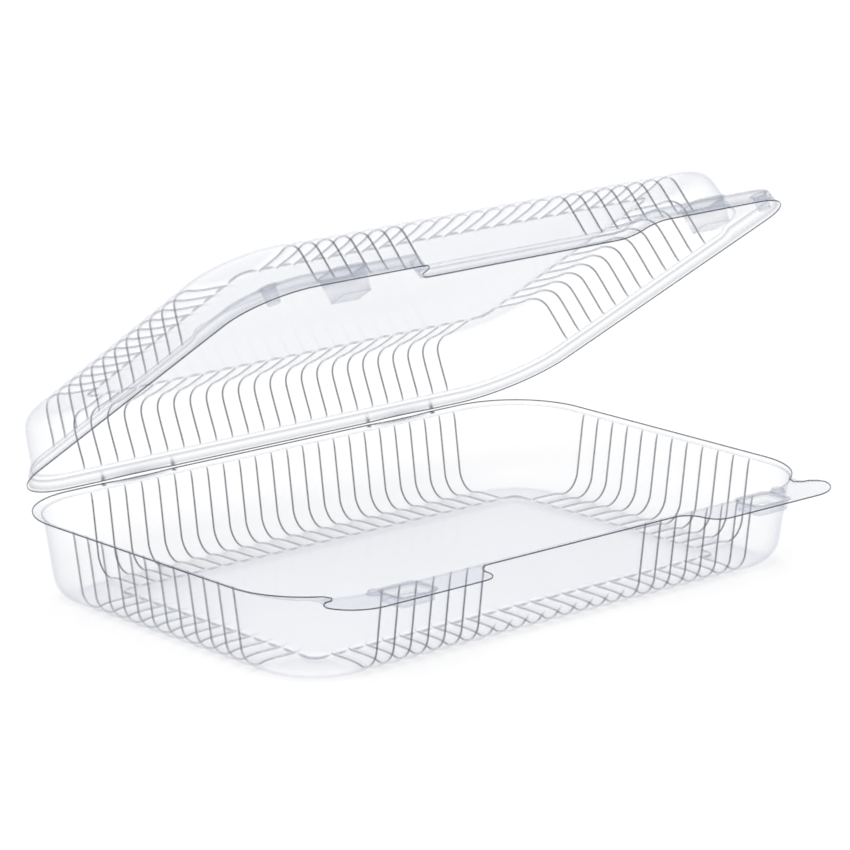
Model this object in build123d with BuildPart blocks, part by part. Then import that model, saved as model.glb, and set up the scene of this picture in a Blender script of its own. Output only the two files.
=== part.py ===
# Hinged clear plastic clamshell pack: a fluted base tray and a domed lid.
#
# Both halves are thermoformed from one thin sheet and joined along a living hinge at the back.
# The origin is the centre of the tray's foot, on the surface that it stands on.
# X runs along the hinge, +Y towards the hinge, -Y towards the opening side, and +Z is up.
# The lid is drawn in its own plane, turned about the hinge fold by the angle that it stands open.
import os
from math import cos, radians, sin, sqrt, tan

from build123d import *

os.makedirs("parts", exist_ok=True)

# ---- the sheet -------------------------------------------------------------------------------
sheet = 0.4  # wall of the formed sheet

# ---- the fluted wall, measured along its creases ----------------------------------------------
wall_half_x = 113.6  # crease line of the end walls, at the rim
wall_half_y = 75.8  # crease line of the hinge wall and the front wall, at the rim
end_pitch = 7.62  # crease spacing on the end walls
long_pitch = 7.06  # crease spacing on the hinge wall and the front wall
end_creases = 12  # creases on each end wall
long_creases = 24  # creases on the hinge wall
front_left_creases = 7  # creases of the front wall left of its plain panel
front_right_creases = 8  # creases of the front wall right of its plain panel
flute_bulge = 0.9  # how far a flute stands outside its creases
wall_corner_r = 28.0  # plan radius of the plain corners at the rim

# ---- the base tray ------------------------------------------------------------------------------
tray_height = 30.0  # foot to the top of the rim flange
rim_flare = 0.7  # how far the wall turns outwards under the flange
rim_flare_height = 1.1
foot_inset = 9.0  # from the rim's crease line to the foot ring
foot_ring = 1.0  # width of the flat foot ring
floor_z = 2.1  # top of the raised floor panel
floor_inset = 17.0  # where the sheet inside the foot ring reaches the floor's level

# ---- the outline that both flanges share --------------------------------------------------------
flange_half_x = 117.5
fold_y = 80.0  # the living hinge
fold_gap = 0.4  # the two halves are this far apart across the fold
hinge_corner_r = 30.0
tray_front_y = -80.5  # middle of the tray's front flange
tray_tab_y = -93.3  # front of the tray's two finger tabs
tab_step_x = 47.1  # middle of the step from the plain front to a tab
tray_front_corner_r = 31.0
tab_tip_x = 109.2  # outer tip of a finger tab

# ---- the lid ------------------------------------------------------------------------------------
open_angle = 33.4  # how far the lid stands open
flange_gap = 0.3  # between the two flanges when the pack is shut
lid_front_y = -79.5
lid_tab_y = -92.0
lid_front_corner_r = 22.0
ledge_height = 4.0  # the step above the lid's flange
tab_ledge_height = 5.5  # the same step above the finger tabs
skirt_foot_inset = 0.8  # flange edge to the bottom of the step
skirt_top_inset = 2.0  # flange edge to the top of the step
tab_skirt_slope = 0.6  # how much further in the step stands above the tabs
tab_ledge_back_y = -50.0  # where the higher step begins on the ends
lid_height = 23.4  # flange to the crown of the dome
crown_inset = 9.0
crown_ring = 1.0
panel_drop = 1.7  # the dome's flat panel lies this far under its crown
panel_inset = 17.0

# ---- latches: a pocket in each tab, and a plug under the lid that snaps into it ---------------------
pocket_x = 77.8
pocket_y = -84.0
pocket_length = 15.4
pocket_width = 12.0
pocket_depth = 4.0
pocket_corner_r = 2.5
pocket_taper = 6.0  # degrees
plug_clearance = 1.1  # around the plug, in the pocket
plug_drop = 3.0  # below the lid's flange
button_x = 88.4
button_y = -80.6
button_r = 2.4
button_height = 1.0
spacer_x = 106.0  # a stub under the lid's corner that rests on the tab's tip
spacer_y = -82.5
spacer_r = 2.6

# ---- lens-shaped stiffening beads along the fold -------------------------------------------------
bead_x = 58.6
bead_length = 30.0
bead_width = 1.6
bead_height = 0.6

fold_z = tray_height + flange_gap / 2
lid_plane = Plane(
    origin=(0, fold_y, fold_z),
    x_dir=(1, 0, 0),
    z_dir=(0, sin(radians(open_angle)), cos(radians(open_angle))),
)
lid_base = flange_gap / 2  # the lid flange's underside above the fold, in the lid's plane


def wall_profile(depth, inset):
    """Levels of a wall from its rim to its foot, as (inset, depth) pairs.

    The wall leans in to 74 per cent of its depth, and turns under on a quarter of an ellipse."""
    turn_depth = 0.74 * depth
    turn_inset = 0.33 * inset
    levels = [(0.0, 0.0), (turn_inset, turn_depth)]
    for degrees in (30, 55, 75, 90):
        a = radians(degrees)
        across = turn_inset + (inset - turn_inset) * (1 - cos(a))
        down = turn_depth + (depth - turn_depth) * sin(a)
        levels.append((across, down))
    return levels


def fluted_outline(inset, shift_y=0.0):
    """The closed outline of the fluted wall, in the current BuildLine.

    Arcs bulge outwards between creases; the four corners and the middle of the front are plain."""
    half_x = wall_half_x - inset
    half_y = wall_half_y - inset
    out_x = half_x + flute_bulge
    out_y = half_y + flute_bulge
    corner_r = wall_corner_r - inset
    end_half = (end_creases - 1) / 2 * end_pitch
    long_half = (long_creases - 1) / 2 * long_pitch
    front_left_end = -long_half + (front_left_creases - 1) * long_pitch
    front_right_start = long_half - (front_right_creases - 1) * long_pitch

    def at(x, y):
        return (x, y + shift_y)

    def flutes(start, count, step, out):
        """Whole flutes from one crease to the last, along step, bulging along out."""
        x, y = start
        for _ in range(count):
            mid = (x + step[0] / 2 + out[0] * flute_bulge, y + step[1] / 2 + out[1] * flute_bulge)
            end = (x + step[0], y + step[1])
            ThreePointArc(at(x, y), at(*mid), at(*end))
            x, y = end
        return x, y

    def half_flute(crease, step, out, rising):
        """Half a flute between a crease and the plain wall beside it."""
        half = sqrt(step[0] ** 2 + step[1] ** 2) / 2
        radius = (half**2 + flute_bulge**2) / (2 * flute_bulge)
        sag = radius - sqrt(radius**2 - (half / 2) ** 2)
        way = 1 if rising else -1
        crest = [crease[i] + way * step[i] / 2 + out[i] * flute_bulge for i in (0, 1)]
        mid = [crease[i] + way * step[i] / 4 + out[i] * (flute_bulge - sag) for i in (0, 1)]
        ends = [at(*crease), at(*mid), at(*crest)]
        ThreePointArc(*(ends if rising else ends[::-1]))
        return crest

    def corner(start, centre_x, centre_y, middle_angle, end):
        """A plain corner: straight to the arc, the arc, and straight on."""
        a, reach = radians(middle_angle), radians(45)
        first = (centre_x + corner_r * cos(a - reach), centre_y + corner_r * sin(a - reach))
        middle = (centre_x + corner_r * cos(a), centre_y + corner_r * sin(a))
        last = (centre_x + corner_r * cos(a + reach), centre_y + corner_r * sin(a + reach))
        Line(at(*start), at(*first))
        ThreePointArc(at(*first), at(*middle), at(*last))
        Line(at(*last), at(*end))

    def crest_of(crease, step, out, way):
        return [crease[i] + way * step[i] / 2 + out[i] * flute_bulge for i in (0, 1)]

    up, down, left, right = (0, end_pitch), (0, -end_pitch), (-long_pitch, 0), (long_pitch, 0)
    centre_x, centre_y = out_x - corner_r, out_y - corner_r

    # right end wall, upwards
    last = flutes((half_x, -end_half), end_creases - 1, up, (1, 0))
    crest = half_flute(last, up, (1, 0), True)
    hinge_right = (long_half, half_y)
    corner(crest, centre_x, centre_y, 45, crest_of(hinge_right, left, (0, 1), -1))
    half_flute(hinge_right, left, (0, 1), False)
    # hinge wall, leftwards
    last = flutes(hinge_right, long_creases - 1, left, (0, 1))
    crest = half_flute(last, left, (0, 1), True)
    left_top = (-half_x, end_half)
    corner(crest, -centre_x, centre_y, 135, crest_of(left_top, down, (-1, 0), -1))
    half_flute(left_top, down, (-1, 0), False)
    # left end wall, downwards
    last = flutes(left_top, end_creases - 1, down, (-1, 0))
    crest = half_flute(last, down, (-1, 0), True)
    front_left = (-long_half, -half_y)
    corner(crest, -centre_x, -centre_y, 225, crest_of(front_left, right, (0, -1), -1))
    half_flute(front_left, right, (0, -1), False)
    # front wall, rightwards, with its plain panel
    last = flutes(front_left, front_left_creases - 1, right, (0, -1))
    crest = half_flute((front_left_end, -half_y), right, (0, -1), True)
    panel_end = crest_of((front_right_start, -half_y), right, (0, -1), -1)
    Line(at(*crest), at(*panel_end))
    half_flute((front_right_start, -half_y), right, (0, -1), False)
    last = flutes((front_right_start, -half_y), front_right_creases - 1, right, (0, -1))
    crest = half_flute(last, right, (0, -1), True)
    right_bottom = (half_x, -end_half)
    corner(crest, centre_x, -centre_y, 315, crest_of(right_bottom, up, (1, 0), -1))
    half_flute(right_bottom, up, (1, 0), False)


def fluted_sections(levels, shift_y=0.0):
    """Faces inside the fluted outline, one for each (plane, inset) level, to loft through."""
    faces = []
    for plane, inset in levels:
        with BuildSketch(plane) as section:
            with BuildLine():
                fluted_outline(inset, shift_y)
            make_face()
        faces.append(section.sketch.face())
    return faces


def panel_sections(levels, shift_y=0.0):
    """Rounded rectangles inside the fluted wall, one for each (plane, inset) level, to loft through."""
    faces = []
    for plane, inset in levels:
        with BuildSketch(plane) as section:
            with Locations((0, shift_y)):
                RectangleRounded(
                    2 * (wall_half_x - inset), 2 * (wall_half_y - inset), wall_corner_r - inset
                )
        faces.append(section.sketch.face())
    return faces


def tab_step(half_gap, front_y, tab_y, side, shift_y=0.0):
    """The S-shaped step of the front edge between its plain middle and a finger tab."""
    r = (front_y - tab_y) / 2
    mid_y = front_y - r
    outer = tab_step_x + half_gap
    k = r * sqrt(0.5)
    inner = [(outer - r, front_y), (outer - r + k, mid_y + k), (outer, mid_y)]
    tab = [(outer, mid_y), (outer + r - k, mid_y - k), (outer + r, tab_y)]
    for arc in (inner, tab):
        ThreePointArc(*[(side * x, y + shift_y) for x, y in arc])


# ---- base tray ------------------------------------------------------------------------------------
tray_top = Plane.XY.offset(tray_height)
crease_top_z = tray_height - rim_flare_height
tray_levels = wall_profile(crease_top_z, foot_inset)
inner_levels = wall_profile(crease_top_z - sheet, foot_inset)
tray_back_y = fold_y - fold_gap / 2

with BuildPart() as base_tray:
    # the flange, with its rounded hinge corners and its two finger tabs
    with BuildSketch(tray_top.offset(-sheet)):
        with BuildLine():
            corner_x = flange_half_x - hinge_corner_r
            corner_y = tray_back_y - hinge_corner_r
            front_x = flange_half_x - tray_front_corner_r
            front_y = tray_tab_y + 16.3 + tray_front_corner_r
            notch_x = tab_tip_x - 6.7
            notch_y = front_y - sqrt(tray_front_corner_r**2 - (notch_x - front_x) ** 2)
            root = (tab_tip_x - 6.0, notch_y - 4.9)
            tip = (tab_tip_x, notch_y - 10.6)
            tab_start = (tab_tip_x - 15.7, tray_tab_y)
            k = sqrt(0.5)
            bend = radians(-28)
            step_outer = tab_step_x + (tray_front_y - tray_tab_y) / 2
            for side in (1, -1):
                Line((0, tray_back_y), (side * corner_x, tray_back_y))
                ThreePointArc(
                    (side * corner_x, tray_back_y),
                    (side * (corner_x + hinge_corner_r * k), corner_y + hinge_corner_r * k),
                    (side * flange_half_x, corner_y),
                )
                Line((side * flange_half_x, corner_y), (side * flange_half_x, front_y))
                ThreePointArc(
                    (side * flange_half_x, front_y),
                    (
                        side * (front_x + tray_front_corner_r * cos(bend)),
                        front_y + tray_front_corner_r * sin(bend),
                    ),
                    (side * notch_x, notch_y),
                )
                ThreePointArc(
                    (side * notch_x, notch_y),
                    (side * (notch_x - 1.1), notch_y - 2.5),
                    (side * root[0], root[1]),
                )
                ThreePointArc(
                    (side * root[0], root[1]),
                    (side * (tab_tip_x - 1.6), root[1] - 1.5),
                    (side * tip[0], tip[1]),
                )
                ThreePointArc(
                    (side * tip[0], tip[1]),
                    (side * (tab_tip_x - 4.7), tray_tab_y + 3.5),
                    (side * tab_start[0], tab_start[1]),
                )
                Line((side * tab_start[0], tray_tab_y), (side * step_outer, tray_tab_y))
                tab_step(0, tray_front_y, tray_tab_y, side)
                inner_x = tab_step_x - (tray_front_y - tray_tab_y) / 2
                Line((side * inner_x, tray_front_y), (0, tray_front_y))
        make_face()
    extrude(amount=sheet)

    # outside of the wall, from the flare under the flange down to the foot
    outside = [(tray_top, -rim_flare)]
    outside += [(Plane.XY.offset(crease_top_z - down), inset) for inset, down in tray_levels]
    loft(fluted_sections(outside), ruled=True)

    # latch pockets hang under the tabs
    with BuildSketch(tray_top):
        with Locations((pocket_x, pocket_y), (-pocket_x, pocket_y)):
            RectangleRounded(pocket_length, pocket_width, pocket_corner_r)
    extrude(amount=-pocket_depth, taper=pocket_taper)
    # one raised button on each tab
    with BuildSketch(tray_top):
        with Locations((button_x, button_y), (-button_x, button_y)):
            Circle(button_r)
    extrude(amount=button_height)
    # lens-shaped beads under the flange, along the fold
    with BuildSketch(tray_top.offset(-sheet)):
        for side in (-1, 1):
            with BuildLine():
                ends = [(side * bead_x - bead_length / 2, tray_back_y)]
                ends.append((side * bead_x, tray_back_y - bead_width))
                ends.append((side * bead_x + bead_length / 2, tray_back_y))
                ThreePointArc(*ends)
                Line(ends[2], ends[0])
            make_face()
    extrude(amount=-bead_height)

    # inside of the wall
    inside = [(tray_top.offset(sheet), sheet - rim_flare), (tray_top, sheet - rim_flare)]
    inside += [(Plane.XY.offset(crease_top_z - down), inset + sheet) for inset, down in inner_levels]
    loft(fluted_sections(inside), ruled=True, mode=Mode.SUBTRACT)

    # the floor rises from the foot ring to its flat panel, as one sheet
    floor_levels = [(0.0, foot_inset + foot_ring), (floor_z - sheet, floor_inset)]
    loft(panel_sections([(Plane.XY.offset(up + sheet), inset) for up, inset in floor_levels]), ruled=True)
    loft(
        panel_sections([(Plane.XY.offset(up), inset) for up, inset in floor_levels]),
        ruled=True,
        mode=Mode.SUBTRACT,
    )

    # hollow of the latch pockets and the buttons
    with BuildSketch(tray_top):
        with Locations((pocket_x, pocket_y), (-pocket_x, pocket_y)):
            RectangleRounded(
                pocket_length - 2 * sheet, pocket_width - 2 * sheet, pocket_corner_r - sheet
            )
    extrude(amount=sheet - pocket_depth, taper=pocket_taper, mode=Mode.SUBTRACT)
    with BuildSketch(tray_top.offset(-sheet)):
        with Locations((button_x, button_y), (-button_x, button_y)):
            Circle(button_r - sheet)
    extrude(amount=button_height, mode=Mode.SUBTRACT)

base_tray.part.label = "base_tray"
export_step(base_tray.part, "parts/base_tray.step")


# ---- lid ------------------------------------------------------------------------------------------
def lid_level(height):
    """The plane at a height above the underside of the lid's flange."""
    return lid_plane.offset(lid_base + height)


def lid_outline(inset):
    """The lid's edge, drawn from the fold: full front corners and two finger tabs."""
    r_hinge = hinge_corner_r - inset
    r_front = lid_front_corner_r - inset
    r_step = (lid_front_y - lid_tab_y) / 2
    half_x = flange_half_x - inset
    back = -fold_gap / 2 - inset
    tab_front = lid_tab_y - fold_y + inset
    front = lid_front_y - fold_y + inset
    k = sqrt(0.5)
    for side in (1, -1):
        corner_x = side * (half_x - r_hinge)
        front_x = side * (half_x - r_front)
        Line((0, back), (corner_x, back))
        ThreePointArc(
            (corner_x, back),
            (corner_x + side * r_hinge * k, back - r_hinge * (1 - k)),
            (side * half_x, back - r_hinge),
        )
        Line((side * half_x, back - r_hinge), (side * half_x, tab_front + r_front))
        ThreePointArc(
            (side * half_x, tab_front + r_front),
            (front_x + side * r_front * k, tab_front + r_front * (1 - k)),
            (front_x, tab_front),
        )
        Line((front_x, tab_front), (side * (tab_step_x + inset + r_step), tab_front))
        tab_step(inset, lid_front_y + inset, lid_tab_y + inset, side, -fold_y)
        Line((side * (tab_step_x + inset - r_step), front), (0, front))


def tab_block(inset):
    """One higher step, over a finger tab and the corner beside it: right side, from the fold."""
    r_front = lid_front_corner_r - inset
    r_step = (lid_front_y - lid_tab_y) / 2
    half_x = flange_half_x - inset
    tab_front = lid_tab_y - fold_y + inset
    front = lid_front_y - fold_y + inset
    back = tab_ledge_back_y - fold_y
    inner_x = wall_half_x - crown_inset
    k = sqrt(0.5)
    Line((tab_step_x + inset, back), (tab_step_x + inset, front - r_step))
    ThreePointArc(
        (tab_step_x + inset, front - r_step),
        (tab_step_x + inset + r_step * (1 - k), front - r_step * (1 + k)),
        (tab_step_x + inset + r_step, tab_front),
    )
    Line((tab_step_x + inset + r_step, tab_front), (half_x - r_front, tab_front))
    ThreePointArc(
        (half_x - r_front, tab_front),
        (half_x - r_front * (1 - k), tab_front + r_front * (1 - k)),
        (half_x, tab_front + r_front),
    )
    Line((half_x, tab_front + r_front), (inner_x, back))
    Line((inner_x, back), (tab_step_x + inset, back))


def lid_sections(outline, levels):
    """Faces inside one of the lid's outlines, one for each (height, inset) level, to loft through."""
    faces = []
    for height, inset in levels:
        with BuildSketch(lid_level(height)) as section:
            with BuildLine():
                outline(inset)
            make_face()
        faces.append(section.sketch.face())
    return faces


lid_levels = wall_profile(lid_height - ledge_height, crown_inset)
lid_inner_levels = wall_profile(lid_height - ledge_height - sheet, crown_inset)
plug_length = pocket_length - 2 * (sheet + plug_clearance)
plug_width = pocket_width - 2 * (sheet + plug_clearance)
plug_corner_r = pocket_corner_r - sheet
plug_places = [(side * pocket_x, pocket_y - fold_y) for side in (-1, 1)]
spacer_places = [(side * spacer_x, spacer_y - fold_y) for side in (-1, 1)]

with BuildPart() as lid:
    # the flange, then the step that stands up from it
    with BuildSketch(lid_level(0)):
        with BuildLine():
            lid_outline(0)
        make_face()
    extrude(amount=sheet)
    loft(lid_sections(lid_outline, [(0, skirt_foot_inset), (ledge_height, skirt_top_inset)]), ruled=True)
    tab_levels = [(ledge_height / 2, skirt_top_inset), (tab_ledge_height, skirt_top_inset + tab_skirt_slope)]
    block = loft(lid_sections(tab_block, tab_levels), ruled=True)
    add(mirror(block, about=Plane.YZ, mode=Mode.PRIVATE))

    # the dome's fluted wall, from the step up to its crown
    outside = [(lid_level(ledge_height - sheet / 2), 0.0)]
    outside += [(lid_level(ledge_height + up), inset) for inset, up in lid_levels[1:]]
    loft(fluted_sections(outside, -fold_y), ruled=True)
    # lens-shaped beads on the flange, along the fold
    with BuildSketch(lid_level(sheet)):
        for side in (-1, 1):
            with BuildLine():
                ends = [(side * bead_x - bead_length / 2, -fold_gap / 2)]
                ends.append((side * bead_x, -fold_gap / 2 - bead_width))
                ends.append((side * bead_x + bead_length / 2, -fold_gap / 2))
                ThreePointArc(*ends)
                Line(ends[2], ends[0])
            make_face()
    extrude(amount=bead_height)

    # hollow of the step, of its higher part over the tabs, and of the dome
    inner_skirt = [(-sheet, skirt_foot_inset + sheet), (ledge_height - sheet, skirt_top_inset + sheet)]
    loft(lid_sections(lid_outline, inner_skirt), ruled=True, mode=Mode.SUBTRACT)
    inner_tab = [(height - sheet, inset + sheet) for height, inset in tab_levels]
    block = loft(lid_sections(tab_block, inner_tab), ruled=True, mode=Mode.PRIVATE)
    add(block, mode=Mode.SUBTRACT)
    add(mirror(block, about=Plane.YZ, mode=Mode.PRIVATE), mode=Mode.SUBTRACT)
    inside = [(lid_level(ledge_height - 2 * sheet), sheet)]
    inside += [(lid_level(ledge_height + up), inset + sheet) for inset, up in lid_inner_levels[1:]]
    loft(fluted_sections(inside, -fold_y), ruled=True, mode=Mode.SUBTRACT)

    # the crown drops to the flat panel of the dome, as one sheet
    panel_levels = [(lid_height, crown_inset + crown_ring), (lid_height - panel_drop, panel_inset)]
    below = [(lid_level(height - sheet), inset) for height, inset in panel_levels]
    loft(panel_sections(below, -fold_y), ruled=True)
    above = [(lid_level(height), inset) for height, inset in panel_levels]
    loft(panel_sections(above, -fold_y), ruled=True, mode=Mode.SUBTRACT)

    # latch plugs hang from the step, and snap into the tray's pockets
    plug_top = 2 * tab_ledge_height * tan(radians(pocket_taper))
    for wall, mode in ((0, Mode.ADD), (sheet, Mode.SUBTRACT)):
        with BuildSketch(lid_level(tab_ledge_height)):
            with Locations(*plug_places):
                RectangleRounded(
                    plug_length + plug_top - 2 * wall, plug_width + plug_top - 2 * wall, plug_corner_r - wall
                )
        extrude(amount=wall - tab_ledge_height - plug_drop, taper=pocket_taper, mode=mode)
    # spacer stubs end level with the flange
    for wall, mode in ((0, Mode.ADD), (sheet, Mode.SUBTRACT)):
        with BuildSketch(lid_level(tab_ledge_height)):
            with Locations(*spacer_places):
                Circle(spacer_r - wall)
        extrude(amount=wall - tab_ledge_height, mode=mode)

lid.part.label = "lid"
export_step(lid.part, "parts/lid.step")
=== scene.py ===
# Hinged clear plastic clamshell pack, standing open on a pale floor.
#
# Units are metres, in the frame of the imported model: X along the hinge, +Y towards it, +Z up.
from math import cos, pi, radians, sin, tan

import bpy
import numpy as np
from mathutils import Matrix, Vector


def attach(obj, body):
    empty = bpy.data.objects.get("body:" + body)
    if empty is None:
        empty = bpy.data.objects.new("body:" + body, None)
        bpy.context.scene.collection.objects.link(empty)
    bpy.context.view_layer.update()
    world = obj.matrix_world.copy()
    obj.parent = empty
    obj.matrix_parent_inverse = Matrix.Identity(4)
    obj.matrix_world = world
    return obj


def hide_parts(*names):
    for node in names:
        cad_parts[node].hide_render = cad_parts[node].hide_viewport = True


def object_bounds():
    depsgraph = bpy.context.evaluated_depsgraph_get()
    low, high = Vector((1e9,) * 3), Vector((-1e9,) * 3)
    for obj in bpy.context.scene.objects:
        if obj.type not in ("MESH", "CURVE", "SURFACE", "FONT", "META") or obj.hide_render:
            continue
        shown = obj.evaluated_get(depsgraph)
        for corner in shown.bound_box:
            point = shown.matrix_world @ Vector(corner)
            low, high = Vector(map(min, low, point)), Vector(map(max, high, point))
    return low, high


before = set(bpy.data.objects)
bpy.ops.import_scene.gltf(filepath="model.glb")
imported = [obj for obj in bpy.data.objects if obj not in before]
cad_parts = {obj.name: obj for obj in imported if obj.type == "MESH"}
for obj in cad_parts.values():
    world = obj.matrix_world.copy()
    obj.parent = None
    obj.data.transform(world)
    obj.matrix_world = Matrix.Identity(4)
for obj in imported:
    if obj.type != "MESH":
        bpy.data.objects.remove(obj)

cad_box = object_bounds()

# ---- base tray -----------------------------------------------------------------------------------
# The shallow tray of the pack, thermoformed from one clear sheet: a flat rim with two finger tabs,
# fluted walls with plain corners, and a floor panel whose edge is scalloped by the flutes' ends.
mm = 0.001
sheet = 0.4 * mm  # wall of the formed sheet
half_x, half_y = 113.6 * mm, 75.8 * mm  # crease lines of the walls, at the rim
end_pitch, long_pitch = 7.62 * mm, 7.06 * mm
end_creases, long_creases = 12, 24
plain_from, plain_to = 7, 15  # creases of the front that show only in its bottom curve
bulge = 0.9 * mm
rim_half_x = 117.5 * mm
hinge_r = 30.0 * mm
fold_y = 80.0 * mm
fold_gap = 0.4 * mm
tab_step_x = 47.1 * mm
corner_steps = 26  # points round a corner
corner_fill = 0.94  # a corner's radius, of the room that the sides' last flutes leave it
end_reach = end_creases * end_pitch / 2
long_reach = long_creases * long_pitch / 2
crease_steps = np.array([-0.5, -0.3, -0.12, -0.045, 0.0, 0.045, 0.12, 0.3])
tray_top = 30.0 * mm
sharp_angle = radians(32.0)  # a crease, not a curve
clear_tint = (0.50, 0.54, 0.66, 1.0)
# the dark colour of the painted shade along the sheet's creases, bends and cut edges
shade_slate = (0.03, 0.042, 0.075, 1.0)


def smooth_step(low, high, value):
    """0 below low, 1 above high, and 3 t^2 - 2 t^3 of the way t between them."""
    t = np.clip((value - low) / (high - low), 0.0, 1.0)
    return t * t * (3.0 - 2.0 * t)


def rounded(points, rounds=3):
    """A polyline with its corners cut: each span keeps its points at 1/4 and 3/4, and both ends stay."""
    line = np.array(points, float)
    for _ in range(rounds):
        cut = np.stack([0.75 * line[:-1] + 0.25 * line[1:], 0.25 * line[:-1] + 0.75 * line[1:]], axis=1)
        line = np.concatenate([line[:1], cut.reshape(-1, line.shape[1]), line[-1:]])
    return line


def along_side(creases, pitch):
    """Places along a side and the swell of its flutes there: 4 p (1 - p), p the way between creases."""
    first = -(creases - 1) / 2 * pitch
    place = (first + pitch * np.arange(creases))[:, None] + pitch * crease_steps[None, :]
    way = np.tile(np.abs(crease_steps), creases)
    return place.ravel(), 4.0 * way * (1.0 - way), np.repeat(np.arange(creases), crease_steps.size)


def wall_plan(inset):
    """Plan of the wall at an inset for each point round it: (rings, points, 2), anticlockwise.

    Sides are straight at half - inset. Corners are a straight, a quarter circle and a straight."""
    end_place = along_side(end_creases, end_pitch)[0]
    long_place = along_side(long_creases, long_pitch)[0]
    parts, at = [], 0
    for quarter in range(4):
        is_end = quarter % 2 == 0
        along, reach = (end_place, end_reach) if is_end else (long_place, long_reach)
        half, next_half, next_reach = (half_x, half_y, long_reach) if is_end else (half_y, half_x, end_reach)
        out = half - inset[:, at : at + along.size]
        at += along.size
        parts.append(turned(out, np.broadcast_to(along, out.shape), quarter))
        here = inset[:, at : at + corner_steps]
        at += corner_steps
        out, far = half - here, next_half - here
        r = corner_fill * np.minimum(out - next_reach, far - reach)
        angle = np.concatenate([[0.0], np.linspace(0.0, pi / 2, corner_steps - 1)])[None, :]
        u = out - r + r * np.cos(angle)
        v = far - r + r * np.sin(angle)
        v[:, 0] = reach
        parts.append(turned(u, v, quarter))
    return np.concatenate(parts, axis=1)


def turned(out, along, quarter):
    """Points out from the middle and along a side, turned by quarter turns round the origin."""
    c, s = ((1, 0), (0, 1), (-1, 0), (0, -1))[quarter]
    return np.stack([c * out - s * along, s * out + c * along], axis=-1)


def round_the_wall():
    """For each point round the wall: its swell, 1 on plain corners; whether it is on the plain front;

    and whether it is on a crease, where the swell is 0."""
    swell, plain, crease = [], [], []
    for quarter in range(4):
        count, pitch = (end_creases, end_pitch) if quarter % 2 == 0 else (long_creases, long_pitch)
        _, lift, index = along_side(count, pitch)
        swell += [lift, np.ones(corner_steps)]
        inside = (index >= plain_from) & (index <= plain_to) if quarter == 3 else np.zeros(index.size, bool)
        plain += [inside, np.zeros(corner_steps, bool)]
        crease += [lift == 0.0, np.zeros(corner_steps, bool)]
    return np.concatenate(swell), np.concatenate(plain), np.concatenate(crease)


def arc(start, middle, end, steps=24):
    """Points of the circle through three points, from the first to the last."""
    a, b, c = (complex(*p) for p in (start, middle, end))
    w = (c - a) / (b - a)
    centre = a + (b - a) * (w - abs(w) ** 2) / (2j * w.imag)
    turns = np.angle(np.array([b, c]) - centre) - np.angle(a - centre)
    way = np.sign(((b - a).conjugate() * (c - b)).imag)
    sweep = (turns[1] * way) % (2 * pi)
    points = centre + (a - centre) * np.exp(1j * way * np.linspace(0.0, sweep, steps))
    return np.stack([points.real, points.imag], axis=1)


def spaced(path, count):
    """count points evenly along a polyline, from its start, without its end."""
    reach = np.concatenate([[0.0], np.cumsum(np.hypot(*np.diff(path, axis=0).T))])
    marks = np.linspace(0.0, reach[-1], count + 1)[:-1]
    return np.stack([np.interp(marks, reach, path[:, i]) for i in (0, 1)], axis=1)


def half_front(front_y, tab_y):
    """The front edge's right half: straight, an S of two quarter circles, and straight along the tab."""
    r = (front_y - tab_y) / 2
    lean = r * (1 - np.sqrt(0.5))
    inner = arc(
        (tab_step_x - r, front_y), (tab_step_x - lean, front_y - lean), (tab_step_x, front_y - r)
    )
    outer = arc((tab_step_x, front_y - r), (tab_step_x + lean, tab_y + lean), (tab_step_x + r, tab_y))
    return np.concatenate([[(0.0, front_y)], inner, outer[1:], [(long_reach, tab_y)]])


def rim_outline(front_y, tab_y, corner_path):
    """The rim's edge, one point for each point round the wall: straight sides, round hinge corners,

    a front with an S-shaped step to each tab, and the front corners along corner_path."""
    end_place = along_side(end_creases, end_pitch)[0]
    long_place = along_side(long_creases, long_pitch)[0]
    back = fold_y - fold_gap / 2
    angle = np.concatenate([[0.0], np.linspace(0.0, pi / 2, corner_steps - 1)])
    right_end = np.stack([np.full(end_place.size, rim_half_x), end_place], axis=1)
    hinge_corner = np.stack(
        [rim_half_x - hinge_r + hinge_r * np.cos(angle), back - hinge_r + hinge_r * np.sin(angle)], axis=1
    )
    hinge_corner[0] = (rim_half_x, end_reach)
    hinge = np.stack([-long_place, np.full(long_place.size, back)], axis=1)
    half = half_front(front_y, tab_y)
    front = np.concatenate([(half * (-1, 1))[::-1], half[1:]])
    reach = np.concatenate([[0.0], np.cumsum(np.hypot(*np.diff(front, axis=0).T))])
    marks = (long_place + long_reach) / (2 * long_reach) * reach[-1]
    front = np.stack([np.interp(marks, reach, front[:, i]) for i in (0, 1)], axis=1)
    right_corner = spaced(corner_path, corner_steps)
    left_corner = spaced((corner_path * (-1, 1))[::-1], corner_steps)
    left_hinge = np.concatenate([[(-long_reach, back)], (hinge_corner[1:] * (-1, 1))[::-1]])
    left_end = right_end * (-1, -1)
    return np.concatenate(
        [right_end, hinge_corner, hinge, left_hinge, left_end, left_corner, front, right_corner]
    )


def offset(outline, distance):
    """A closed outline moved inwards along its normals."""
    along = np.roll(outline, -1, axis=0) - np.roll(outline, 1, axis=0)
    along /= np.hypot(*along.T)[:, None]
    return outline + distance * np.stack([-along[:, 1], along[:, 0]], axis=1)


def profile_slopes(profile):
    """Unit directions along an (inset, height) profile, from its rim to its panel."""
    along = np.gradient(profile, axis=0)
    along /= np.hypot(*along.T)[:, None]
    return along


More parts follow.
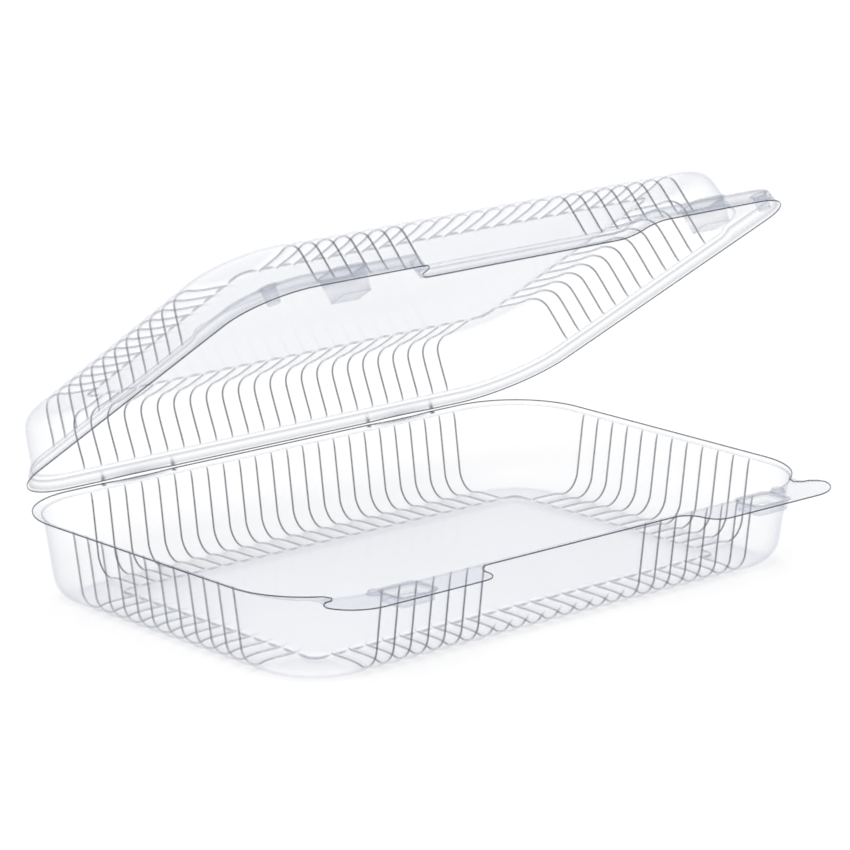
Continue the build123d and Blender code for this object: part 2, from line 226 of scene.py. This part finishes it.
def in_slot(points, centre, length, width, corner_r):
    """Which points lie in a rounded rectangle."""
    x = np.abs(points[..., 0] - centre[0]) - (length / 2 - corner_r)
    y = np.abs(points[..., 1] - centre[1]) - (width / 2 - corner_r)
    return np.hypot(np.maximum(x, 0), np.maximum(y, 0)) + np.minimum(np.maximum(x, y), 0) < corner_r


def sheet_mesh(name, rings, painted_dark, outward, drop=None, place=None):
    """A formed sheet from closed rings of points, shut at the last one by a fan, then thickened inwards.

    The shade given for each point is painted shade: dark lines in place of the light that a clear sheet
    bends away at a crease or a cut edge. outward is the side that the last ring's fan faces. drop picks
    faces to leave out, and place moves the points."""
    count, around = rings.shape[:2]
    number = np.arange(count * around).reshape(count, around)
    right = np.roll(number, -1, axis=1)
    quads = np.stack([number[:-1], right[:-1], right[1:], number[1:]], axis=-1).reshape(-1, 4)
    points = rings.reshape(-1, 3)
    if drop is not None:
        quads = quads[~drop(points[quads].mean(axis=1))]
    middle = rings[-1].mean(axis=0)
    fan = [(int(a), int(b), count * around) for a, b in zip(number[-1], right[-1])]
    faces = quads.tolist() + fan
    fan_normal = np.cross(rings[-1][0] - middle, rings[-1][1] - middle)
    if np.dot(fan_normal, outward) < 0:
        faces = [face[::-1] for face in faces]
    points = np.concatenate([points, middle[None, :]])
    if place is not None:
        points = place(points)
    mesh = bpy.data.meshes.new(name)
    mesh.from_pydata(points.tolist(), [], faces)
    # painted shade at creases, bends and cut edges, kept as a point attribute for the material
    layer = mesh.attributes.new("painted_shade", "FLOAT", "POINT")
    layer.data.foreach_set("value", np.concatenate([painted_dark.ravel(), [0.0]]).astype(np.float32))
    mesh.shade_smooth()
    mesh.set_sharp_from_angle(angle=sharp_angle)
    made = bpy.data.objects.new(name, mesh)
    bpy.context.scene.collection.objects.link(made)
    wall = made.modifiers.new("sheet", "SOLIDIFY")
    wall.thickness = sheet
    wall.offset = -1.0
    made.data.materials.append(sheet_finish)
    return made


class Socket:
    """A shader value that can be written in sums, such as 0.1 + 0.5 * facing."""

    def __init__(self, shader, output):
        self.shader = shader
        self.output = output

    def math(self, operation, first, second):
        node = self.shader.add("ShaderNodeMath", {"operation": operation}, {0: first, 1: second})
        return Socket(self.shader, node.outputs[0])

    def __add__(self, other):
        return self.math("ADD", self, other)

    def __radd__(self, other):
        return self.math("ADD", other, self)

    def __mul__(self, other):
        return self.math("MULTIPLY", self, other)

    def __rmul__(self, other):
        return self.math("MULTIPLY", other, self)

    def __pow__(self, other):
        return self.math("POWER", self, other)

    def at_most(self, other):
        return self.math("MINIMUM", self, other)


class Finish:
    """A new material whose nodes all come from add()."""

    def __init__(self, name):
        self.material = bpy.data.materials.new(name)
        self.material.use_nodes = True
        self.tree = self.material.node_tree
        self.tree.nodes.clear()

    def add(self, kind, settings, sockets):
        """A node of a kind. settings are its properties; sockets are values or links, by name or place."""
        node = self.tree.nodes.new(kind)
        for name, value in settings.items():
            setattr(node, name, value)
        for key, value in sockets.items():
            if isinstance(value, Socket):
                self.tree.links.new(value.output, node.inputs[key])
            else:
                node.inputs[key].default_value = value
        return node

    def value(self, kind, settings, sockets, output):
        """One output of a new node, ready for sums and for other nodes' sockets."""
        return Socket(self, self.add(kind, settings, sockets).outputs[output])

    def show(self, shader):
        """Puts a shader on the surface and gives the material."""
        self.add("ShaderNodeOutputMaterial", {}, {"Surface": shader})
        return self.material


def clear_sheet():
    """Clear sheet: nearly nothing face on, lavender grey where it turns away, and slate painted shade along
    creases, bends and cut edges.
    """
    finish = Finish("clear sheet")
    facing = finish.value("ShaderNodeLayerWeight", {}, {"Blend": 0.5}, "Facing")
    painted_shade = finish.value("ShaderNodeAttribute", {"attribute_name": "painted_shade"}, {}, "Fac")
    # painted shade: makes the sheet opaque and slate at creases, bends and cut edges, in place of the light
    # that the clear sheet bends away there
    cover = (0.022 + 0.38 * facing**4.0 + 0.85 * painted_shade).at_most(1.0)
    painted_shade_mix = (painted_shade * 1.6).at_most(1.0)
    mix_sockets = {0: painted_shade_mix, 6: clear_tint, 7: shade_slate}
    colour = finish.value("ShaderNodeMix", {"data_type": "RGBA"}, mix_sockets, 2)
    skin_sockets = {"Base Color": colour, "Roughness": 0.12, "IOR": 1.55, "Alpha": cover}
    return finish.show(finish.value("ShaderNodeBsdfPrincipled", {}, skin_sockets, 0))


sheet_finish = clear_sheet()
swell, plain_front, on_crease = round_the_wall()


panel_edge = 25.6 * mm  # inset of the flat panel, where the flutes end
scallop_width = 1.2 * mm


def fluted_rings(profile, top, way, low_curve):
    """Rings of a fluted wall: the profile moved out along its normal by b, the bulge times the swell.

    The swell is whole at the rim's bend, follows the flutes down the wall, and dies at the panel. The
    front's middle stays plain as far as the low curve. way is 1 for a wall that goes down, else -1."""
    along = profile_slopes(profile)
    down = way * (top - profile[:, 1:])
    shown = smooth_step(0.3 * mm, 1.3 * mm, down)
    ribs = smooth_step(low_curve, low_curve + 4.0 * mm, down)
    shown = np.where(plain_front[None, :], np.minimum(shown, ribs), shown)
    dying = 1.0 - smooth_step(panel_edge - scallop_width, panel_edge, profile[:, :1])
    b = bulge * (1.0 - shown * (1.0 - swell[None, :])) * dying
    inset = profile[:, :1] - b * np.abs(along[:, 1:])
    height = profile[:, 1:] - way * b * along[:, :1]
    # painted shade: dark lines down the creases and along the flutes' ends at the panel, in place of the
    # light that the clear sheet bends away there
    painted_dark = np.where(on_crease[None, :], shown * (0.35 + 0.65 * dying), 0.0)
    scallop_shade = np.exp(-(((profile[:, :1] - panel_edge + scallop_width / 2) / (0.35 * mm)) ** 2))
    painted_dark = np.maximum(painted_dark, 0.5 * scallop_shade * swell[None, :])
    return np.concatenate([wall_plan(inset), height[..., None]], axis=-1), painted_dark


def panel_profile(level):
    """The last stretch of a wall's profile: flat, with close levels where the flutes end."""
    return [(inset, level) for inset in (20.0, 23.6, 24.4, 24.7, 25.0, 25.3, 25.6)]


def panel_ring(edge):
    """One ring just inside the flat panel's edge, a small part of the way to its middle."""
    return (edge + 0.06 * (edge.mean(axis=0) - edge))[None]


def flat_ring(outline, height):
    """An outline at one height."""
    return np.concatenate([outline, np.full((outline.shape[0], 1), height)], axis=1)


def between(outer, inner, spans=12):
    """Rings spaced evenly between two rings."""
    ways = np.linspace(0.0, 1.0, spans + 1)[1:-1]
    return outer + (inner - outer) * ways[:, None, None]


tray_front_y, tray_tab_y = -80.5 * mm, -93.3 * mm
tip_x, tab_end_x = 109.2 * mm, 93.5 * mm
notch = (102.5 * mm, -72.55 * mm)
notch_root = (103.2 * mm, -77.45 * mm)
tab_tip = (tip_x, -83.15 * mm)
front_corner = (rim_half_x, -46.0 * mm)
tray_corner_path = np.concatenate(
    [
        [(long_reach, tray_tab_y)],
        arc((tab_end_x, tray_tab_y), (104.5 * mm, -89.8 * mm), tab_tip),
        arc(tab_tip, (107.6 * mm, -78.95 * mm), notch_root)[1:],
        arc(notch_root, (101.4 * mm, -75.05 * mm), notch)[1:],
        arc(notch, (113.87 * mm, -60.55 * mm), front_corner)[1:],
        [(rim_half_x, -end_reach)],
    ]
)
tray_profile = mm * np.concatenate(
    [
        rounded([(-1.7, 29.6), (-0.5, 29.6), (-0.12, 29.1), (0.0, 28.4)], 2),
        [(0.35, 25.9), (1.1, 20.4), (1.9, 14.6), (2.4, 11.0)],
        rounded([(2.75, 8.5), (3.1, 6.3), (4.5, 3.7), (6.6, 1.7), (9.6, 0.75), (12.4, 1.5), (16.6, 1.7)], 2),
        panel_profile(1.7),
    ]
)
tray_crease_top = 29.4 * mm
tray_low_curve = 21.5 * mm  # from the crease top down to the curve into the floor
cut_edge = 0.45 * mm  # how far the painted shade line along the cut edge reaches
wall_rings, wall_painted_shade = fluted_rings(tray_profile, tray_crease_top, 1, tray_low_curve)
wall_painted_shade[3:5] = np.maximum(wall_painted_shade[3:5], 0.22)  # painted shade along the bend under the rim
tray_outline = rim_outline(tray_front_y, tray_tab_y, tray_corner_path)
cut_rings = [flat_ring(offset(tray_outline, inset), tray_top - sheet) for inset in (0.0, cut_edge)]
rim_middle = between(cut_rings[1], wall_rings[0])
tray_rings = np.concatenate([cut_rings, rim_middle, wall_rings, panel_ring(wall_rings[-1])])
tray_painted_shade = np.zeros(tray_rings.shape[:2])
# painted shade line along the rim's cut edge
tray_painted_shade[0] = 1.0
first_wall = len(cut_rings) + len(rim_middle)
tray_painted_shade[first_wall:-1] = wall_painted_shade

pocket_x, pocket_y = 77.8 * mm, -84.0 * mm
pocket_length, pocket_width, pocket_r = 15.4 * mm, 12.0 * mm, 2.5 * mm
rim_only = 25.0 * mm  # above this height there is only the rim over a tab


def tray_holes(points):
    """Where the rim is open: the mouths of the pockets."""
    mouth = (pocket_length, pocket_width, pocket_r)
    left = in_slot(points, (-pocket_x, pocket_y), *mouth)
    right = in_slot(points, (pocket_x, pocket_y), *mouth)
    return (left | right) & (points[:, 2] > rim_only)


bead_x, bead_length, bead_width, bead_height = 58.6 * mm, 30.0 * mm, 1.6 * mm, 0.6 * mm


def hinge_beads(points):
    """Two lens-shaped beads along the fold, (1 - u^2)(1 - v^2) high, u along and v across each one,

    and the painted shade at each end of them, where u is 1 or -1."""
    u = (np.abs(points[..., 0]) - bead_x) / (bead_length / 2)
    v = (points[..., 1] - (fold_y - fold_gap / 2 - bead_width / 2)) / (bead_width / 2)
    across = np.clip(1.0 - v * v, 0.0, 1.0)
    end_shade = np.exp(-(((np.abs(u) - 1.0) * bead_length / 2 / (0.8 * mm)) ** 2)) * across
    return np.clip(1.0 - u * u, 0.0, 1.0) * across, end_shade


lens, end_shade = hinge_beads(tray_rings)
tray_rings[..., 2] -= bead_height * lens
# painted shade over the beads and at their ends
tray_painted_shade = np.maximum(tray_painted_shade, np.maximum(0.4 * lens, 0.9 * end_shade))
tray = sheet_mesh("tray_sheet", tray_rings, tray_painted_shade, (0, 0, -1), tray_holes)
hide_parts("base_tray")
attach(tray, "tray")

# ---- latch pockets and buttons of the tray --------------------------------------------------------
# Two small wells hang under the finger tabs, drawn down from the same sheet, and take the lid's
# plugs when the pack is shut. Beside each a round button stands up from the tab.
button_x, button_y, button_r = 88.4 * mm, -80.6 * mm, 2.4 * mm
latch_taper = 6.0  # degrees



def well(name, centre, length, width, corner_r, mouth, floor, taper, outward, place=None, lip=0.7 * mm):
    """A drawn well or boss: a lip, a wall that tapers from mouth to floor, and a closed floor.

    Each ring is a rounded rectangle: its corner circles' points, moved out to the four corners."""
    angle = np.linspace(0.0, 2 * pi, 48, endpoint=False) + pi / 96
    depth = abs(floor - mouth)
    way = np.sign(floor - mouth)
    shrink = depth * tan(radians(taper))
    steps = [(lip, mouth), (0.15 * mm, mouth), (0.0, mouth + way * 0.2 * mm)]
    steps += [(-0.5 * shrink, (mouth + floor) / 2)]
    steps += [(-shrink, floor - way * 0.5 * mm), (-shrink - 0.2 * mm, floor - way * 0.1 * mm)]
    steps += [(-shrink - 0.7 * mm, floor)]
    rings = []
    for grow, level in steps:
        r = max(corner_r + grow, 0.3 * mm)
        x = centre[0] + np.sign(np.cos(angle)) * (length / 2 + grow - r) + r * np.cos(angle)
        y = centre[1] + np.sign(np.sin(angle)) * (width / 2 + grow - r) + r * np.sin(angle)
        rings.append(np.stack([x, y, np.full(x.size, level)], axis=1))
    rings = np.stack(rings)
    bend_shade = np.array([0.0, 0.35, 0.25, 0.04, 0.12, 0.3, 0.0])  # painted shade, darker at the mouth's and floor's bends
    return sheet_mesh(name, rings, np.tile(bend_shade[:, None], angle.size), outward, place=place)


for side, hand in ((-1, "left"), (1, "right")):
    pocket = well(
        f"latch_pocket_{hand}", (side * pocket_x, pocket_y), pocket_length, pocket_width, pocket_r,
        tray_top - sheet, tray_top - 4.0 * mm, latch_taper, (0, 0, -1),
    )
    button = well(
        f"button_{hand}", (side * button_x, button_y), 2 * button_r, 2 * button_r, button_r,
        tray_top + 0.01 * mm, tray_top + 1.0 * mm, 10.0, (0, 0, 1), lip=0.3 * mm,
    )
    for piece in (pocket, button):
        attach(piece, "tray")

# ---- lid -------------------------------------------------------------------------------------------
# The domed lid, formed from the same sheet and hinged to the tray along the fold: a rim, a step up
# to a ledge that is higher over the tabs, fluted walls, and a crown round its sunk flat panel.
open_angle = radians(33.4)
lid_base = 0.15 * mm
fold_z = 30.15 * mm
lid_front_y, lid_tab_y = -79.5 * mm, -92.0 * mm
lid_front_r = 22.0 * mm
ledge, tab_rise = 4.0 * mm, 1.5 * mm


def open_lid(points):
    """Lid points drawn shut, as (x, y, height over its rim's underside), turned open about the fold."""
    x, y, h = points.T
    c, s = cos(open_angle), sin(open_angle)
    back = y - fold_y
    up = h + lid_base
    return np.stack([x, fold_y + back * c + up * s, fold_z - back * s + up * c], axis=1)


lid_corner_path = np.concatenate(
    [
        [(long_reach, lid_tab_y)],
        arc(
            (rim_half_x - lid_front_r, lid_tab_y),
            (rim_half_x - lid_front_r * (1 - np.sqrt(0.5)), lid_tab_y + lid_front_r * (1 - np.sqrt(0.5))),
            (rim_half_x, lid_tab_y + lid_front_r),
        ),
        [(rim_half_x, -end_reach)],
    ]
)
lid_outline = rim_outline(lid_front_y, lid_tab_y, lid_corner_path)
lid_profile = mm * np.concatenate(
    [
        rounded([(-1.7, 4.0), (-0.5, 4.0), (-0.12, 4.5), (0.0, 5.2)], 2),
        [(0.35, 7.2), (1.0, 11.0), (1.6, 14.2)],
        rounded([(2.1, 16.6), (2.7, 19.0), (4.2, 21.0), (6.6, 22.1), (9.6, 22.5), (12.4, 21.9)]
                + [(16.6, 21.7)], 2),
        panel_profile(21.7),
    ]
)
lid_crease_foot = 4.2 * mm
lid_high_curve = 14.0 * mm  # from the crease foot up to the curve into the crown
dome_rings, dome_painted_shade = fluted_rings(lid_profile, lid_crease_foot, -1, lid_high_curve)
dome_painted_shade[3:5] = np.maximum(dome_painted_shade[3:5], 0.15)  # painted shade along the bend above the ledge


def tab_lift(points):
    """How much higher the ledge is at a point: 1 over the tabs and front corners, else 0."""
    forward = smooth_step(50.0 * mm, 53.0 * mm, -points[..., 1])
    aside = smooth_step(tab_step_x - 2.0 * mm, tab_step_x + 1.0 * mm, np.abs(points[..., 0]))
    return forward * aside


lid_cut_edge = 0.42 * mm
skirt = [(0.0, sheet), (lid_cut_edge, sheet), (0.8 * mm, sheet), (0.95 * mm, 0.9 * mm), (1.5 * mm, 2.6 * mm)]
skirt += [(1.85 * mm, ledge - 0.35 * mm), (2.2 * mm, ledge)]
skirt_rings = np.stack([flat_ring(offset(lid_outline, inset), height) for inset, height in skirt])
ledge_rings = between(skirt_rings[-1], dome_rings[0])
lid_rings = np.concatenate([skirt_rings, ledge_rings, dome_rings])
level = lid_rings[..., 2]
# the lift grows up the skirt, is whole on the ledge, and fades up the wall's first stretch
lift = np.where(level < ledge, level / ledge, np.clip(1.0 - (level - ledge) / (6.0 * mm), 0.0, 1.0))
lid_rings[..., 2] += tab_rise * tab_lift(lid_rings) * lift * (level > 1.1 * sheet)
lid_rings = np.concatenate([lid_rings, panel_ring(dome_rings[-1])])
lid_painted_shade = np.zeros(lid_rings.shape[:2])
# painted shade: a line along the cut edge and along the skirt's two bends
lid_painted_shade[0] = 1.0
lid_painted_shade[3] = 0.25
lid_painted_shade[5] = 0.3
lid_painted_shade[len(skirt_rings) + len(ledge_rings) : -1] = dome_painted_shade
plug_clearance = 1.1 * mm
plug_length = pocket_length - 2 * (sheet + plug_clearance)
plug_width = pocket_width - 2 * (sheet + plug_clearance)
plug_r = 2.1 * mm
plug_top = 2 * (ledge + tab_rise) * tan(radians(latch_taper))
spacer_x, spacer_y, spacer_r = 106.0 * mm, -82.5 * mm, 2.6 * mm


def lid_holes(points):
    """Where the ledge is open: the mouths of the plugs and of the spacer stubs."""
    over = points[:, 2] > 4.5 * mm
    shut = np.zeros(points.shape[0], bool)
    for s in (-1, 1):
        mouth = (plug_length + plug_top, plug_width + plug_top, plug_r)
        shut |= in_slot(points, (s * pocket_x, pocket_y), *mouth)
        shut |= in_slot(points, (s * spacer_x, spacer_y), 2 * spacer_r, 2 * spacer_r, spacer_r)
    return shut & over & (points[:, 2] < 7 * mm)


lens, end_shade = hinge_beads(lid_rings)
lid_rings[..., 2] += bead_height * lens
# painted shade over the beads and at their ends
lid_painted_shade = np.maximum(lid_painted_shade, np.maximum(0.3 * lens, 0.7 * end_shade))
lid = sheet_mesh("lid_sheet", lid_rings, lid_painted_shade, (0, 0, 1), lid_holes, open_lid)
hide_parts("lid")
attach(lid, "lid")

# ---- latch plugs and spacer stubs of the lid -------------------------------------------------------
# Hollow plugs drawn down from the ledge snap into the tray's wells. A round stub in each front corner
# comes down level with the rim and keeps the two rims apart.
for side, hand in ((-1, "left"), (1, "right")):
    plug = well(
        f"latch_plug_{hand}", (side * pocket_x, pocket_y), plug_length + plug_top, plug_width + plug_top,
        plug_r, ledge + tab_rise, -3.0 * mm, latch_taper, (0, 0, -1), open_lid,
    )
    spacer = well(
        f"spacer_stub_{hand}", (side * spacer_x, spacer_y), 2 * spacer_r, 2 * spacer_r, spacer_r,
        ledge + tab_rise, 0.0, 3.0, (0, 0, -1), open_lid,
    )
    for piece in (plug, spacer):
        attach(piece, "lid")

# ---- floor, lamps and surroundings -----------------------------------------------------------------
# A plain matt white floor in a white room, lit by the room and two soft boxes, with the camera at the
# pack's front left corner.
floor_half = 12.0


def floor_finish():
    """Matt white floor that shows as white from the camera, with the pack's shadow kept."""
    finish = Finish("floor")
    rays = [
        finish.value("ShaderNodeLightPath", {}, {}, kind)
        for kind in ("Is Camera Ray", "Is Transmission Ray", "Is Glossy Ray")
    ]
    seen = (rays[0] + rays[1] + rays[2]).at_most(1.0)
    matt = finish.value("ShaderNodeBsdfDiffuse", {}, {"Color": (0.90, 0.90, 0.90, 1.0)}, 0)
    glow_sockets = {"Color": (1.0, 1.0, 1.0, 1.0), "Strength": 0.12 * seen}
    glow = finish.value("ShaderNodeEmission", {}, glow_sockets, 0)
    return finish.show(finish.value("ShaderNodeAddShader", {}, {0: matt, 1: glow}, 0))


floor_mesh = bpy.data.meshes.new("floor")
floor_z = cad_box[0][2] - 0.2 * mm
corners = [(x * floor_half, y * floor_half, floor_z) for x, y in ((-1, -1), (1, -1), (1, 1), (-1, 1))]
floor_mesh.from_pydata(corners, [], [(0, 1, 2, 3)])
floor = bpy.data.objects.new("floor", floor_mesh)
bpy.context.scene.collection.objects.link(floor)
floor_mesh.materials.append(floor_finish())

world = bpy.data.worlds.new("white room")
world.use_nodes = True
world.node_tree.nodes["Background"].inputs["Color"].default_value = (1.0, 1.0, 1.0, 1.0)
world.node_tree.nodes["Background"].inputs["Strength"].default_value = 0.72
bpy.context.scene.world = world


def soft_lamp(name, place, size, power):
    """A square soft box that looks at the pack's middle."""
    lamp = bpy.data.lights.new(name, "AREA")
    lamp.shape = "SQUARE"
    lamp.size = size
    lamp.energy = power
    holder = bpy.data.objects.new(name, lamp)
    place = Vector(place)
    holder.location = place
    holder.rotation_euler = (Vector((0.0, 0.0, 0.05)) - place).to_track_quat("-Z", "Y").to_euler()
    bpy.context.scene.collection.objects.link(holder)


soft_lamp("key lamp", (-1.6, -1.2, 2.2), 1.4, 26.0)
soft_lamp("back lamp", (1.4, 1.6, 1.8), 1.2, 16.0)

azimuth, elevation, roll = radians(-40.74), radians(14.47), radians(-0.40)
camera_place = (-0.8817, -1.0260, 0.4018)
camera_data = bpy.data.cameras.new("camera")
camera_data.lens = 176.95
camera_data.sensor_width = 36.0
camera_data.clip_end = 100.0
camera = bpy.data.objects.new("camera", camera_data)
back = Vector((sin(azimuth) * cos(elevation), -cos(azimuth) * cos(elevation), sin(elevation)))
level_right = Vector((cos(azimuth), sin(azimuth), 0.0))
upright = back.cross(level_right)
right = level_right * cos(roll) + upright * sin(roll)
up = upright * cos(roll) - level_right * sin(roll)
turn = Matrix((right, up, back)).transposed().to_4x4()
camera.matrix_world = Matrix.Translation(camera_place) @ turn
bpy.context.scene.collection.objects.link(camera)
bpy.context.scene.camera = camera
bpy.context.scene.view_settings.view_transform = "Standard"
bpy.context.scene.cycles.transparent_max_bounces = 64  # a line of sight crosses many sheets
